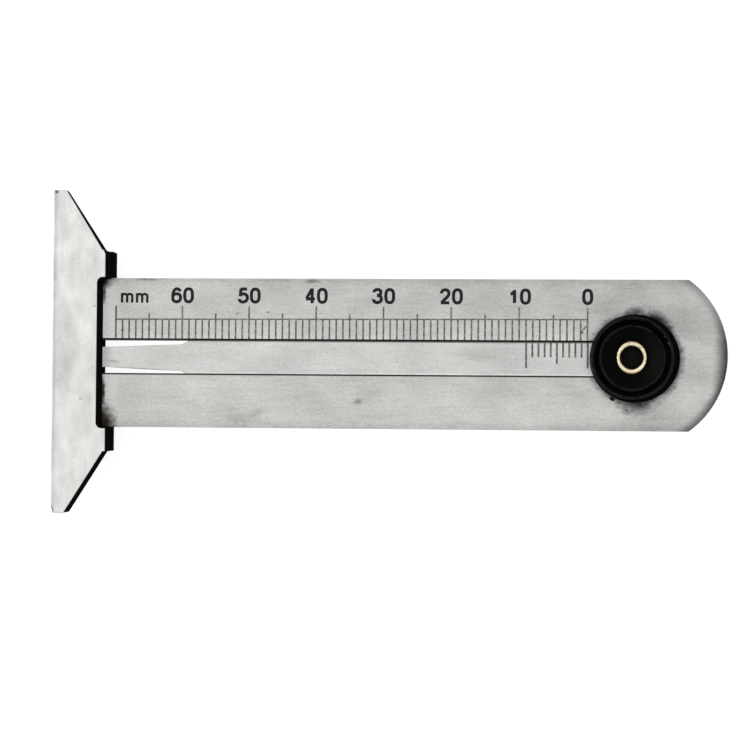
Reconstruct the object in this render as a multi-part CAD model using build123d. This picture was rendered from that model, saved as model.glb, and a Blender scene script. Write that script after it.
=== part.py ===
from build123d import *
import os
from math import copysign, cos, pi, sin, sqrt

# Pocket depth gauge: a slotted beam with a wide foot, and a blade that slides in the slot.
# Millimetres. The gauge lies on its back, +Z towards the reader. +X runs from the foot's
# measuring face to the beam's rounded end, and +Y across the beam to the figures.
# The origin is on the probe's tip, which is level with the measuring face at reading 0,
# on the blade's centre line and halfway through the beam's thickness.

# ---- Beam
beam_width = 22.2
beam_thick = 1.5
beam_offset = 0.61        # the beam's centre line lies this far above the blade's
beam_inset = 1.0          # from the measuring face to the beam's hidden end
end_radius = 13.75        # the rounded end
end_reach = 13.95         # from the rivet's axis to the end's crown
end_roll = 0.3            # rounding of the rounded end's rims
edge_break = 0.06         # chamfer on the beam's long edges

# ---- Blade, and how it fits the slot
blade_width = 5.14        # the front half, which rests on the beam's ledges
blade_bevel = 0.12        # along the blade's front edges
blade_proud = 0.06        # the blade's back stands out of the beam's back
slot_gap_upper = 0.12
slot_gap_lower = 0.04
ledge_width = 4.88        # between the two ledges, in the back half of the beam
ledge_gap = 0.05          # between the ledges and the blade's front half
keel_gap = 0.06           # at each side of the blade's back half, between the ledges
stop_gap = 0.15           # from the blade's round end to the slot's end at reading 0
blade_tail = 1.1          # from the rivet's axis to the centre of the blade's round end

# ---- Probe: the blade's tapered front
probe_length = 18.45
probe_tip_upper = 1.18    # from the blade's centre line to the probe's upper edge
probe_tip_lower = 1.23
probe_root_upper = 1.86
probe_root_lower = 2.13
shoulder_slope = 0.5      # the shoulders' rise over their length

# ---- Main scale, engraved and filled
scale_zero = 78.56        # from the measuring face
scale_range = 70
scale_pitch = 1.0
mark_width = 0.26
base_width = 0.22
mark_depth = 0.05
minor_length = 2.87       # from the slot to the base line's left end
base_rise = 0.26          # the base line isn't parallel to the slot: its right end is higher
five_rise = 0.93          # above the base line's left end
ten_rise = 2.00
five_step = 5
ten_step = 10

# ---- Figures and unit mark
figure_gap = 0.40         # above the ten millimetre marks
figure_height = 2.40
figure_width = 1.64
figure_pitch = 1.79
figure_stroke = 0.48
unit_height = 1.55
unit_width = 1.90
unit_pitch = 2.27
unit_stroke = 0.37
unit_shift = 0.70         # from the last mark to the unit's left edge

# ---- Vernier
vernier_count = 10
vernier_pitch = 0.9
vernier_mark_width = 0.28
vernier_shift = 0.05      # past the main scale's zero at reading 0
vernier_short = 2.33      # from the blade's edge
vernier_middle = 3.27
vernier_long = 3.93

# ---- Foot: a bridge in front of the beam and a cheek behind it. Its two ends differ a little.
seat_gap = 0.02           # at each side of the beam in its channel
wing_span = 12.65         # of the bridge beyond the channel, at each side
foot_tip_width = 1.92     # widths are from the measuring face on
slope_root_upper = 7.32   # where the wing's slope meets the ear
slope_root_lower = 7.63
bridge_width_upper = 7.81
bridge_width_lower = 8.01
cheek_width_upper = 8.03
cheek_width_lower = 7.84
ear_wall_upper = 3.90     # beside the channel
ear_wall_lower = 3.59
ear_cut_width = 0.33      # the cut corner of the bridge's upper ear
ear_cut_height = 0.65
heel_width = 0.30         # the cut corner at the lower end of the measuring face
heel_height = 1.07
bridge_rise = 4.4         # from the beam's face to the foot's face
upper_relief = 1.0        # behind the upper wing at its root
upper_tip_relief = 3.0    # behind the upper wing at its tip
lower_relief = 0.5        # behind the lower wing
notch_floor = 6.61
notch_shift = -0.17       # of the bridge's notch across the beam
cheek_notch_extra = 0.2   # the cheek's notch is deeper
notch_corner = 0.8
tip_corner = 0.35
face_round = 0.15         # round the front face
blade_relief = 0.12       # running clearance round the blade in the foot

# ---- Foot fasteners
screw_radius = 1.0
screw_clearance = 0.10
screw_head_radius = 1.9
screw_bite = 2.5          # into the bridge
screw_slot_width = 0.5
screw_slot_depth = 0.35
hole_end_gap = 0.2        # beyond a screw or dowel in its blind hole
dowel_radius = 0.75
dowel_inset = 1.8         # from the channel to the dowel's axis
dowel_bite = 2.0

# ---- Knob
knob_to_zero = 6.47       # from the scale's zero to the rivet's axis
knob_gap = 0.06           # between the knob and the beam
knob_radius = 6.1
knob_height = 3.3
skirt_radius = 6.48
skirt_height = 0.7
skirt_offset = 0.42       # the skirt is out of centre, away from the foot
rim_crest_radius = 5.70
groove_radius = 5.20
groove_depth = 0.75
dish_crest_radius = 4.70
dish_crest_drop = 0.15    # below the rim's crest
dish_lip_width = 0.25
dish_floor_radius = 2.7
dish_floor_height = 1.5
knob_boss_radius = 2.4
knob_round = 0.3
crest_round = 0.12

# ---- Tube rivet
tube_outer_radius = 1.9
tube_inner_radius = 1.5
tube_gap = 0.05           # between the tube and the knob
tube_floor = 0.3
tenon_radius = 1.3
tail_radius = 1.9
tail_height = 0.40

# ---- Keeper, leaf spring and washer on the back
keeper_length = 9.0       # along the beam
keeper_lap = 2.25         # over the beam at each side of the slot
keeper_thick = 0.45
keeper_corner = 0.8
spring_thick = 0.25
spring_width = 5.0
spring_reach = 2.9        # beyond the keeper at each side
spring_tip = 0.7          # flat end that rides on the beam
spring_gap = 0.03
washer_radius = 2.3
washer_thick = 0.34

cut_past = 1.0            # how far a cutting shape runs past the piece it cuts

# ---- Places worked out from the sizes
front = beam_thick / 2
back = -front
blade_back = back - blade_proud
keeper_back = blade_back - keeper_thick
spring_back = keeper_back - spring_thick
washer_back = spring_back - washer_thick
foot_back = washer_back - tail_height     # the foot and the rivet's tail lie on one plane
foot_front = front + bridge_rise

blade_edge = blade_width / 2
slot_top = blade_edge + slot_gap_upper
slot_bottom = -blade_edge - slot_gap_lower
ledge_edge = ledge_width / 2
keel_edge = ledge_edge - keel_gap
tunnel_edge = blade_edge + blade_relief
keeper_edge = ledge_edge + keeper_lap

rivet_x = scale_zero + knob_to_zero
blade_end_x = rivet_x + blade_tail        # centre of the blade's round end
slot_end_x = blade_end_x + stop_gap
end_center_x = rivet_x + end_reach - end_radius

half_beam = beam_width / 2
beam_top = beam_offset + half_beam
beam_bottom = beam_offset - half_beam

channel = half_beam + seat_gap
ear_upper = channel + ear_wall_upper
ear_lower = channel + ear_wall_lower
half_foot = channel + wing_span
dowel_x = cheek_width_lower / 2
dowel_reach = channel + dowel_inset
past_foot = 2 * cheek_width_upper

# Each end's outline, from the measuring face to the notch, as (x, distance from the beam's centre line)
bridge_upper = [(0, half_foot), (foot_tip_width, half_foot), (slope_root_upper, ear_upper),
                (bridge_width_upper - ear_cut_width, ear_upper),
                (bridge_width_upper, ear_upper - ear_cut_height)]
bridge_lower = [(0, half_foot - heel_height), (heel_width, half_foot), (foot_tip_width, half_foot),
                (slope_root_lower, ear_lower), (bridge_width_lower, ear_lower)]
cheek_upper = [(0, ear_upper), (cheek_width_upper, ear_upper)]
cheek_lower = [(0, ear_lower), (cheek_width_lower, ear_lower)]

base_line_y = slot_top + minor_length
figure_y = base_line_y + ten_rise + figure_gap
screw_x = (beam_inset + notch_floor) / 2
screw_hole_radius = screw_radius + screw_clearance
screw_head_depth = screw_head_radius - screw_radius       # a right-angled countersink


def block(x_low, x_high, y_low, y_high, z_low, z_high):
    """A block between two corners."""
    center = ((x_low + x_high) / 2, (y_low + y_high) / 2, (z_low + z_high) / 2)
    return Pos(*center) * Box(x_high - x_low, y_high - y_low, z_high - z_low)


def disc(x, y, radius, z_low, z_high):
    """A round bar along Z."""
    return Pos(x, y, (z_low + z_high) / 2) * Cylinder(radius, z_high - z_low)


def plate(face, z_low, z_high):
    """A flat face in the XY plane, made solid between two heights."""
    return Pos(0, 0, z_low) * extrude(face, z_high - z_low)


def turned(profile):
    """A turned piece about the rivet's axis, from (radius, height, rounding) corners."""
    face = make_face(Polyline(*[(radius, height) for radius, height, _ in profile], close=True))
    for radius, height, rounding in profile:
        if rounding:
            face = fillet(face.vertices().sort_by_distance((radius, height))[0], rounding)
    return Pos(rivet_x, 0, 0) * revolve(Plane.XZ * face, Axis.Z)


def single(shape):
    """The one solid that a shape holds."""
    return shape.solid() if len(shape.solids()) == 1 else shape


# ---- Engraving: each mark is a groove in the steel and the paint that fills it

def upright(x, y_low, y_high, width):
    """One scale line as a flat strip."""
    return Pos(x, (y_low + y_high) / 2) * Rectangle(width, y_high - y_low)


def scale_face():
    """The main scale: a base line and the lines that cross it."""
    left = scale_zero - scale_range * scale_pitch - mark_width / 2
    right = scale_zero + mark_width / 2
    base = trace(Line((left, base_line_y), (right, base_line_y + base_rise)), base_width)
    lines = []
    for step in range(scale_range + 1):
        rise = base_rise * (1 - step / scale_range) + base_width / 2
        if step % ten_step == 0:
            rise = ten_rise
        elif step % five_step == 0:
            rise = five_rise
        x = scale_zero - step * scale_pitch
        lines.append(upright(x, slot_top + edge_break, base_line_y + rise, mark_width))
    return base + lines


def vernier_face():
    """The vernier's lines, from the blade's upper edge down."""
    lines = []
    for step in range(vernier_count + 1):
        length = vernier_short
        if step % vernier_count == 0:
            length = vernier_long
        elif step == vernier_count // 2:
            length = vernier_middle
        x = scale_zero + vernier_shift - step * vernier_pitch
        lines.append(upright(x, blade_edge - length, blade_edge - blade_bevel, vernier_mark_width))
    return Sketch() + lines


def oval(x, y, half_width, half_height, fullness=2.6, count=16):
    """Points round a closed oval that is a little square."""
    points = []
    for index in range(count + 1):
        across, up = cos(2 * pi * index / count), sin(2 * pi * index / count)
        points.append((x + half_width * copysign(abs(across) ** (2 / fullness), across),
                       y + half_height * copysign(abs(up) ** (2 / fullness), up)))
    return points[:-1] + points[:1]


def strokes(symbol):
    """The points of each stroke of one symbol, in a box one wide and one high."""
    if symbol == "0":
        return [oval(0.5, 0.5, 0.5, 0.5)]
    if symbol == "1":
        return [[(0.66, 0), (0.66, 1)], [(0.14, 0.70), (0.44, 0.76), (0.62, 0.96)]]
    if symbol == "2":
        return [[(0.03, 0.72), (0.15, 0.93), (0.5, 1), (0.87, 0.90), (0.95, 0.68), (0.70, 0.42),
                 (0.28, 0.18), (0.04, 0)], [(-0.06, 0), (1.02, 0)]]
    if symbol == "3":
        return [[(0.04, 0.78), (0.20, 0.96), (0.5, 1), (0.84, 0.92), (0.86, 0.66), (0.42, 0.54)],
                [(0.42, 0.54), (0.88, 0.45), (0.96, 0.18), (0.5, 0), (0.12, 0.06), (0, 0.26)]]
    if symbol == "4":
        return [[(0.68, 1), (0, 0.28)], [(-0.06, 0.26), (1.10, 0.26)], [(0.74, -0.08), (0.74, 1.08)]]
    if symbol == "5":
        return [[(0.16, 1), (0.98, 1)], [(0.20, 1.05), (0.10, 0.44)],
                [(0.08, 0.46), (0.48, 0.63), (0.94, 0.50), (0.97, 0.18), (0.5, 0), (0.12, 0.06), (0, 0.24)]]
    if symbol == "6":
        return [oval(0.5, 0.31, 0.5, 0.31, 2.3),
                [(0.94, 0.80), (0.72, 0.97), (0.46, 1), (0.16, 0.86), (0.02, 0.58), (0, 0.31)]]
    if symbol == "m":
        arches = [[(x, 0.70), (x + 0.07, 0.92), (x + 0.26, 1), (x + 0.43, 0.92), (x + 0.5, 0.70)]
                  for x in (0, 0.5)]
        return arches + [[(x, -0.1), (x, top)] for x, top in ((0, 1.12), (0.5, 0.72), (1, 0.72))]
    raise ValueError(symbol)


def symbol_face(symbol, width, height, thick):
    """One symbol with its lower left corner at the origin, its strokes thick wide."""
    face = Sketch()
    for points in strokes(symbol):
        placed = [(thick / 2 + x * (width - thick), thick / 2 + y * (height - thick)) for x, y in points]
        if len(placed) == 2:
            path = Line(*placed)
        elif points[0] == points[-1]:
            path = Spline(*placed[:-1], periodic=True)
        else:
            path = Spline(*placed)
        face += trace(path, thick)
    return face


def text_face(text, width, height, pitch, thick):
    """A row of symbols, the first at the origin."""
    return Sketch() + [Pos(index * pitch, 0) * symbol_face(symbol, width, height, thick)
                       for index, symbol in enumerate(text)]


def figures_face():
    """A figure over each ten millimetre line but the last, and the unit beside the last."""
    rows = []
    for value in range(0, scale_range, ten_step):
        text = str(value)
        span = (len(text) - 1) * figure_pitch + figure_width
        row = text_face(text, figure_width, figure_height, figure_pitch, figure_stroke)
        rows.append(Pos(scale_zero - value * scale_pitch - span / 2, figure_y) * row)
    unit = text_face("mm", unit_width, unit_height, unit_pitch, unit_stroke)
    rows.append(Pos(scale_zero - scale_range * scale_pitch + unit_shift, figure_y) * unit)
    return Sketch() + rows


scale_marks = plate(scale_face(), front - mark_depth, front)
figure_marks = plate(figures_face(), front - mark_depth, front)
vernier_marks = plate(vernier_face(), front - mark_depth, front)


# ---- Beam

def slot_face(y_low, y_high):
    """The slot's outline between two edges, open at the foot and round at the far end."""
    radius = (y_high - y_low) / 2
    middle = (y_low + y_high) / 2
    length = slot_end_x - beam_inset + radius
    straight = Pos(slot_end_x - length / 2, middle) * Rectangle(length, 2 * radius)
    return straight + Pos(slot_end_x, middle) * Circle(radius)


def make_beam():
    """The beam: a plate with one round end and a slot with a ledge along each side."""
    corner_x = end_center_x + sqrt(end_radius ** 2 - half_beam ** 2)
    body = block(beam_inset, corner_x, beam_bottom, beam_top, back, front)
    end = disc(end_center_x, beam_offset, end_radius, back, front)
    strip = block(corner_x, end_center_x + end_radius + cut_past, beam_bottom, beam_top, back, front)
    body += end & strip
    rims = body.edges().filter_by(GeomType.CIRCLE).filter_by(lambda edge: edge.radius == end_radius)
    body = fillet(rims, end_roll)
    body -= plate(slot_face(slot_bottom, slot_top), 0, front)
    body -= plate(slot_face(-ledge_edge, ledge_edge), back, 0)
    body = chamfer(body.edges().group_by(Axis.Z)[-1].filter_by(Axis.X), edge_break)
    outer = body.edges().group_by(Axis.Z)[0].filter_by(Axis.X)
    body = chamfer([edge for edge in outer if abs(edge.center().Y) > slot_top], edge_break)
    for y in screw_places():
        body -= disc(screw_x, y, screw_hole_radius, back, front)
    return body - scale_marks - figure_marks


def screw_places():
    """The heights of the two foot screws, one through the middle of each rail."""
    return [(slot_top + beam_top) / 2, (slot_bottom + beam_bottom) / 2]


# ---- Foot

def foot_face(upper, lower, floor, shift=0):
    """A foot piece's outline, from the corners of its two ends and its notch's floor and shift."""
    top, bottom = shift + half_beam, shift - half_beam
    notch = [(upper[-1][0], top), (floor, top), (floor, bottom), (lower[-1][0], bottom)]
    face = make_face(Polyline(*upper, *notch, *[(x, -y) for x, y in reversed(lower)], close=True))
    inner = [vertex for vertex in face.vertices() if abs(vertex.X - floor) < 0.01]
    return Pos(0, beam_offset) * fillet(inner, notch_corner)


def dowel_places():
    """The heights of the two dowels, one in each ear."""
    return [beam_offset + dowel_reach, beam_offset - dowel_reach]


def wing_room(root, tip, root_relief, tip_relief):
    """The space left behind one wing, between two distances from the beam's centre line."""
    beyond = tip + (tip - root)
    slope = (tip_relief - root_relief) / (tip - root)
    corners = [(root, front - cut_past), (root, front + root_relief),
               (beyond, front + root_relief + slope * (beyond - root)), (beyond, front - cut_past)]
    section = Plane.YZ * make_face(Polyline(*corners, close=True))
    return Pos(-cut_past, beam_offset, 0) * extrude(section, past_foot)


def make_bridge():
    """The foot's front piece, with wings at both ends."""
    body = plate(foot_face(bridge_upper, bridge_lower, notch_floor, notch_shift), front, foot_front)
    tip = (foot_tip_width, beam_offset + half_foot, foot_front)
    body = fillet(body.edges().filter_by(Axis.Z).sort_by_distance(tip)[0], tip_corner)
    body = fillet(body.edges().group_by(Axis.Z)[-1], face_round)
    body -= wing_room(ear_upper, half_foot, upper_relief, upper_tip_relief)
    body -= wing_room(-ear_lower, -half_foot, lower_relief, lower_relief)
    body -= block(0, past_foot, -tunnel_edge, tunnel_edge, front, front + blade_relief)
    for y in screw_places():
        body -= disc(screw_x, y, screw_radius, front, front + screw_bite + hole_end_gap)
    for y in dowel_places():
        body -= disc(dowel_x, y, dowel_radius, front, front + dowel_bite + hole_end_gap)
    return body


def make_cheek():
    """The foot's back piece: a channel for the beam, with a tunnel for the blade."""
    body = plate(foot_face(cheek_upper, cheek_lower, notch_floor - cheek_notch_extra), foot_back, front)
    body -= block(beam_inset, past_foot, beam_offset - channel, beam_offset + channel, back, front)
    body -= block(0, past_foot, -tunnel_edge, tunnel_edge, blade_back - blade_relief, front)
    for y in screw_places():
        cone = Cone(screw_head_radius, screw_radius, screw_head_depth)
        body -= Pos(screw_x, y, foot_back + screw_head_depth / 2) * cone
        body -= disc(screw_x, y, screw_hole_radius, foot_back, back)
    for y in dowel_places():
        body -= disc(dowel_x, y, dowel_radius, foot_back, front)
    return body


def make_screw(y):
    """One countersunk screw, from the foot's back through the beam into the bridge."""
    head = Cone(screw_head_radius, screw_radius, screw_head_depth)
    body = Pos(screw_x, y, foot_back + screw_head_depth / 2) * head
    body += disc(screw_x, y, screw_radius, foot_back + screw_head_depth, front + screw_bite)
    half = screw_slot_width / 2
    reach = screw_head_radius
    return body - block(screw_x - reach, screw_x + reach, y - half, y + half,
                        foot_back, foot_back + screw_slot_depth)


def make_dowel(y):
    """One dowel through the cheek's ear into the bridge."""
    return disc(dowel_x, y, dowel_radius, foot_back, front + dowel_bite)


# ---- Blade

def blade_face(edge):
    """The blade's outline, edge being half the width of its straight part."""
    upper_x = probe_length + (edge - probe_root_upper) / shoulder_slope
    lower_x = probe_length + (edge - probe_root_lower) / shoulder_slope
    upper = [(0, probe_tip_upper), (probe_length, probe_root_upper), (upper_x, edge), (blade_end_x, edge)]
    lower = [(0, -probe_tip_lower), (probe_length, -probe_root_lower), (lower_x, -edge), (blade_end_x, -edge)]
    return make_face(Polyline(*upper, *reversed(lower), close=True)) + Pos(blade_end_x, 0) * Circle(edge)


def make_blade():
    """The sliding blade: a tapered probe, and a tail whose front half rests on the ledges."""
    body = plate(blade_face(blade_edge), ledge_gap, front)
    body = chamfer(body.edges().group_by(Axis.Z)[-1].filter_by(Axis.X), blade_bevel)
    body += plate(blade_face(keel_edge), blade_back, ledge_gap)
    body -= disc(rivet_x, 0, tenon_radius, blade_back, front)
    return body - vernier_marks


# ---- Knob and the parts that hold it

def make_knob():
    """The thumb knob: a dished cap on a skirt."""
    base = front + knob_gap
    top = base + knob_height
    floor = base + dish_floor_height
    dish_top = top - dish_crest_drop
    bore = tube_outer_radius + tube_gap
    profile = [(bore, front, 0), (knob_boss_radius, front, 0), (knob_boss_radius, base, 0),
               (knob_radius, base, 0), (knob_radius, top - knob_round, knob_round),
               (rim_crest_radius, top, crest_round), (groove_radius, top - groove_depth, crest_round),
               (dish_crest_radius, dish_top, crest_round),
               (dish_crest_radius - dish_lip_width, dish_top - crest_round, 0),
               (dish_floor_radius, floor, knob_round), (bore, floor, 0)]
    skirt = disc(rivet_x + skirt_offset, 0, skirt_radius, base, base + skirt_height)
    skirt = fillet(skirt.edges().group_by(Axis.Z)[-1], crest_round)
    skirt -= disc(rivet_x, 0, knob_boss_radius, base, base + skirt_height)
    return turned(profile) + skirt


def make_rivet():
    """The tube rivet: a rolled lip in the dish, a shoulder on the blade and a peened tail."""
    floor = front + knob_gap + dish_floor_height
    lip_radius = tube_outer_radius - tube_inner_radius
    body = disc(rivet_x, 0, tube_outer_radius, front, floor)
    body += disc(rivet_x, 0, tenon_radius, washer_back, front)
    body += disc(rivet_x, 0, tail_radius, foot_back, washer_back)
    body = fillet(body.edges().group_by(Axis.Z)[0], tail_height / 2)
    body += Pos(rivet_x, 0, floor) * Torus(tube_outer_radius, lip_radius) & lip_room(floor)
    return body - disc(rivet_x, 0, tube_inner_radius, front + tube_floor, floor + 2 * lip_radius)


def lip_room(floor):
    """The space above the dish's floor."""
    return disc(rivet_x, 0, dish_floor_radius, floor, floor + knob_height)


def make_keeper():
    """The keeper: a plate behind the blade that laps over the beam."""
    half = keeper_length / 2
    body = block(rivet_x - half, rivet_x + half, -keeper_edge, keeper_edge, keeper_back, blade_back)
    body = fillet(body.edges().filter_by(Axis.Z), keeper_corner)
    return body - disc(rivet_x, 0, tenon_radius, keeper_back, blade_back)


def make_spring():
    """The leaf spring: flat under the keeper, with ends that reach up to the beam."""
    half = spring_thick / 2
    tip_y = keeper_edge + spring_reach
    low, high = keeper_back - half, back - spring_gap - half
    right = [(keeper_edge, low), (tip_y - spring_tip, high), (tip_y, high)]
    left = [(-y, z) for y, z in reversed(right)]
    path = FilletPolyline(*left, *right, radius=4 * spring_thick)
    section = Plane.YZ * trace(path, spring_thick)
    body = Pos(rivet_x - spring_width / 2, 0, 0) * extrude(section, spring_width)
    return body - disc(rivet_x, 0, tenon_radius, spring_back, keeper_back)


def make_washer():
    """The washer under the rivet's tail."""
    body = disc(rivet_x, 0, washer_radius, washer_back, spring_back)
    return body - disc(rivet_x, 0, tenon_radius, washer_back, spring_back)


nodes = {
    "beam_plate": make_beam(),
    "foot_bridge": make_bridge(),
    "foot_rear_cheek": make_cheek(),
    "foot_screws": Compound(children=[single(make_screw(y)) for y in screw_places()]),
    "foot_dowels": Compound(children=[single(make_dowel(y)) for y in dowel_places()]),
    "scale_ticks": scale_marks,
    "scale_figures": figure_marks,
    "depth_blade": make_blade(),
    "vernier_ticks": vernier_marks,
    "thumb_knob": make_knob(),
    "tube_rivet": make_rivet(),
    "keeper_plate": make_keeper(),
    "leaf_spring": make_spring(),
    "rivet_washer": make_washer(),
}

os.makedirs("parts", exist_ok=True)
for name, shape in nodes.items():
    export_step(single(shape), f"parts/{name}.step")
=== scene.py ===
"""Looks of a pocket depth gauge: its camera and light, and the shape and finish of each piece.

The gauge lies on its back on a pale floor. Its frame is +X from the foot's measuring face to the
beam's round end, +Y across the beam to the figures, and +Z to the reader, in metres. New pieces
are shaped in millimetres and brought to metres when they are finished.
"""

import logging
import math
from collections.abc import Callable, Iterator, Sequence
from contextlib import contextmanager
from dataclasses import dataclass, replace
from enum import Enum
from itertools import pairwise

import bmesh
import bpy
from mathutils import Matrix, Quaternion, Vector


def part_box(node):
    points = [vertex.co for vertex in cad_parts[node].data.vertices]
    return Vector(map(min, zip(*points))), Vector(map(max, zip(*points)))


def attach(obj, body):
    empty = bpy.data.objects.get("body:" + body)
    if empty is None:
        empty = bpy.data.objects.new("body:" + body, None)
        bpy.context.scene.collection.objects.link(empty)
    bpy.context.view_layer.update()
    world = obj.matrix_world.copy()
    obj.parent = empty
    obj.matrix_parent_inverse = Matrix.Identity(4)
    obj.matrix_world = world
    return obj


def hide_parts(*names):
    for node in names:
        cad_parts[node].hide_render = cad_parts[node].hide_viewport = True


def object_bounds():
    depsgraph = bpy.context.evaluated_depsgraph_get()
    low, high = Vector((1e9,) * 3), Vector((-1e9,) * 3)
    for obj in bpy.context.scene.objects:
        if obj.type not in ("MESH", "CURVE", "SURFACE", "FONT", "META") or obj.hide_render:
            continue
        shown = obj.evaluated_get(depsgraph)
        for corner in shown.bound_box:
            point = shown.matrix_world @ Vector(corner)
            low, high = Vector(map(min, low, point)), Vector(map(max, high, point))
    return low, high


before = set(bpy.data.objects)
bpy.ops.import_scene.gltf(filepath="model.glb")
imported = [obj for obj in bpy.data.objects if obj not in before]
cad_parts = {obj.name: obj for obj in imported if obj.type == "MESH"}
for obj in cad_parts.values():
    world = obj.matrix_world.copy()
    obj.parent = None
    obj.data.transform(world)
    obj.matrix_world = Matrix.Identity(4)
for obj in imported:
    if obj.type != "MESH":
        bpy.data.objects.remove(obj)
cad_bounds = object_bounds()

MM = 0.001
NEAR = 0.01  # corners closer than this, in millimetres, count as being in one place
MIDDLE = Vector((0.05, 0.0, 0.0))  # what the lamps face, about the beam's middle, in metres
CAMERA_PLACE = Vector((69.81, -8.85, 300.75))  # in millimetres, fitted to the photo's scale lines
CAMERA_TURN = Vector((0.021366, 0.074563, 0.007548))  # its axis times its angle in radians
Color = tuple[float, float, float]
FOOT_SIDE = 6.6  # where the foot's wall ends over the beam, in millimetres from the measuring face
BLACK: Color = (0.0, 0.0, 0.0)
WHITE: Color = (1.0, 1.0, 1.0)
log = logging.getLogger("depth_gauge")


# ---- Shader maths

def scaled(color: Color, factor: float) -> Color:
    """Returns a colour times a factor."""
    red, green, blue = color
    return red * factor, green * factor, blue * factor


class Value:
    """One shader socket, on which Python's arithmetic adds Math nodes."""

    def __init__(self, graph: "Graph", socket: bpy.types.NodeSocket) -> None:
        """Wraps a socket of a graph."""
        self.graph = graph
        self.socket = socket

    def _math(self, operation: str, first: object, second: object = 0.0) -> "Value":
        """Adds one Math node and returns its result."""
        return self.graph.node("ShaderNodeMath", {"operation": operation}, {0: first, 1: second})

    def __add__(self, other: object) -> "Value":
        """Adds two values."""
        return self._math("ADD", self, other)

    __radd__ = __add__

    def __sub__(self, other: object) -> "Value":
        """Takes the other value from this one."""
        return self._math("SUBTRACT", self, other)

    def __rsub__(self, other: object) -> "Value":
        """Takes this value from the other one."""
        return self._math("SUBTRACT", other, self)

    def __mul__(self, other: object) -> "Value":
        """Multiplies two values."""
        return self._math("MULTIPLY", self, other)

    __rmul__ = __mul__

    def __truediv__(self, other: object) -> "Value":
        """Divides this value by the other one."""
        return self._math("DIVIDE", self, other)

    def __pow__(self, power: float) -> "Value":
        """Raises the value to a power."""
        return self._math("POWER", self, power)

    def __abs__(self) -> "Value":
        """Drops the value's sign."""
        return self._math("ABSOLUTE", self)

    def least(self, other: object) -> "Value":
        """Returns the lesser of two values."""
        return self._math("MINIMUM", self, other)

    def most(self, other: object) -> "Value":
        """Returns the greater of two values."""
        return self._math("MAXIMUM", self, other)

    def rise(self, low: float, high: float) -> "Value":
        """Rises smoothly from 0 at low to 1 at high.

        Args:
            low: The value at which the result is still 0.
            high: The value at which the result has reached 1. It may be below low, for a fall.

        Returns:
            The smooth step.
        """
        settings = {"interpolation_type": "SMOOTHSTEP"}
        if low > high:
            return 1 - self.rise(high, low)
        return self.graph.node("ShaderNodeMapRange", settings,
                               {"Value": self, "From Min": low, "From Max": high})


class Graph:
    """The node graph of a material or of the world."""

    def __init__(self, tree: bpy.types.NodeTree) -> None:
        """Empties the tree that it will fill."""
        self.tree = tree
        tree.nodes.clear()

    def node(self, kind: str, settings: dict[str, object] | None = None,
             inputs: dict[str | int, object] | None = None, output: str | int = 0) -> Value:
        """Adds a node.

        Args:
            kind: The node's type.
            settings: Its properties, which are set before its sockets.
            inputs: A value, a Value or a colour for each named or numbered socket.
            output: The name or number of the output to return.

        Returns:
            That output.
        """
        made = self.tree.nodes.new(kind)
        for key, setting in (settings or {}).items():
            setattr(made, key, setting)
        for key, given in (inputs or {}).items():
            self._plug(made.inputs[key], given)
        sockets = list(made.outputs)
        if not sockets:
            return Value(self, None)
        return Value(self, sockets[output] if isinstance(output, int) else made.outputs[output])

    def _plug(self, socket: bpy.types.NodeSocket, given: object) -> None:
        """Links a socket to a Value, or sets it to a number, a vector or a colour.

        Args:
            socket: The socket.
            given: What it takes.
        """
        if isinstance(given, Value):
            self.tree.links.new(given.socket, socket)
        elif socket.type == "RGBA":
            socket.default_value = (*given, 1.0)
        else:
            socket.default_value = given

    def mix(self, factor: object, first: object, second: object) -> Value:
        """Mixes two colours.

        Args:
            factor: The share of the second colour.
            first: The colour at 0.
            second: The colour at 1.

        Returns:
            The mixed colour.
        """
        made = self.tree.nodes.new("ShaderNodeMix")
        made.data_type = "RGBA"
        by_name = {socket.identifier: socket for socket in made.inputs}
        for key, given in {"Factor_Float": factor, "A_Color": first, "B_Color": second}.items():
            self._plug(by_name[key], given)
        return Value(self, next(s for s in made.outputs if s.identifier == "Result_Color"))

    def noise(self, point: Value, size: tuple[float, float, float], detail: float = 2.0,
              shift: float = 0.0) -> Value:
        """Adds noise whose grains have a given size.

        Args:
            point: The coordinates, in millimetres.
            size: The grains' size along x, y and z, in millimetres.
            detail: How many finer layers lie on the first.
            shift: Moves the pattern, so that two patterns differ.

        Returns:
            The noise, from 0 to 1 with its middle at 0.5.
        """
        scale = tuple(1 / length for length in size)
        placed = self.node("ShaderNodeMapping", None,
                           {"Vector": point, "Location": (shift, shift / 2, shift / 3), "Scale": scale})
        return self.node("ShaderNodeTexNoise", None, {"Vector": placed, "Scale": 1.0, "Detail": detail})


@dataclass(frozen=True)
class Stain:
    """One oval stain, speck or scratch, with its middle, half length and half width in millimetres.

    Its length is turned from x in degrees. It has its full strength, from 0 to 1, over the share
    core of its size, and ragged says how uneven its edge is.
    """

    x: float
    y: float
    length: float
    width: float
    strength: float
    turn: float = 0.0
    core: float = 0.3
    ragged: float = 0.6


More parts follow.
